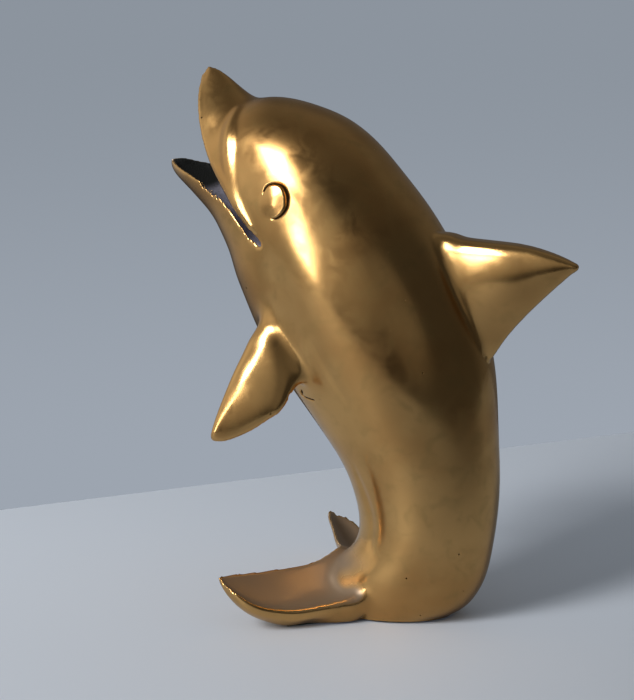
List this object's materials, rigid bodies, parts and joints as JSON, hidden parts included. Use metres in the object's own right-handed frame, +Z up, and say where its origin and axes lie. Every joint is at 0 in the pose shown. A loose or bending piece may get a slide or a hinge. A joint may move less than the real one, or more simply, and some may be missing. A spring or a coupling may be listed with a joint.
{
  "type": "dolphin figurine",
  "caption": "Leaping dolphin in polished brass, hollow cast, open-mouthed, standing upright on its curled tail flukes as a table ornament.",
  "frame": {"origin": "bottom centre of the bounding box, on the table under the felt pad", "axes": "+Z up along the body; -X is where the belly, beak and jaw face; +X is the back with its dorsal fin; -Y is the dolphin's left"},
  "size_m": [0.2256, 0.145, 0.2787],
  "materials": {
    "polished_cast_brass": "sand cast, filed and polished, lightly tarnished",
    "rolled_brass": "plain mill surface",
    "felt": "pressed wool felt"
  },
  "bodies": {
    "root": {"left_body_shell": "polished_cast_brass", "right_body_shell": "polished_cast_brass", "lower_jaw": "polished_cast_brass", "dorsal_fin": "polished_cast_brass", "left_pectoral_fin": "polished_cast_brass", "right_pectoral_fin": "polished_cast_brass", "left_fluke": "polished_cast_brass", "right_fluke": "polished_cast_brass", "base_plate": "rolled_brass", "felt_pad": "felt", "crown_dowel": "rolled_brass", "back_dowel": "rolled_brass", "chest_dowel": "rolled_brass", "stock_dowel": "rolled_brass", "left_jaw_dowel": "rolled_brass", "right_jaw_dowel": "rolled_brass"}
  },
  "joints": []
}
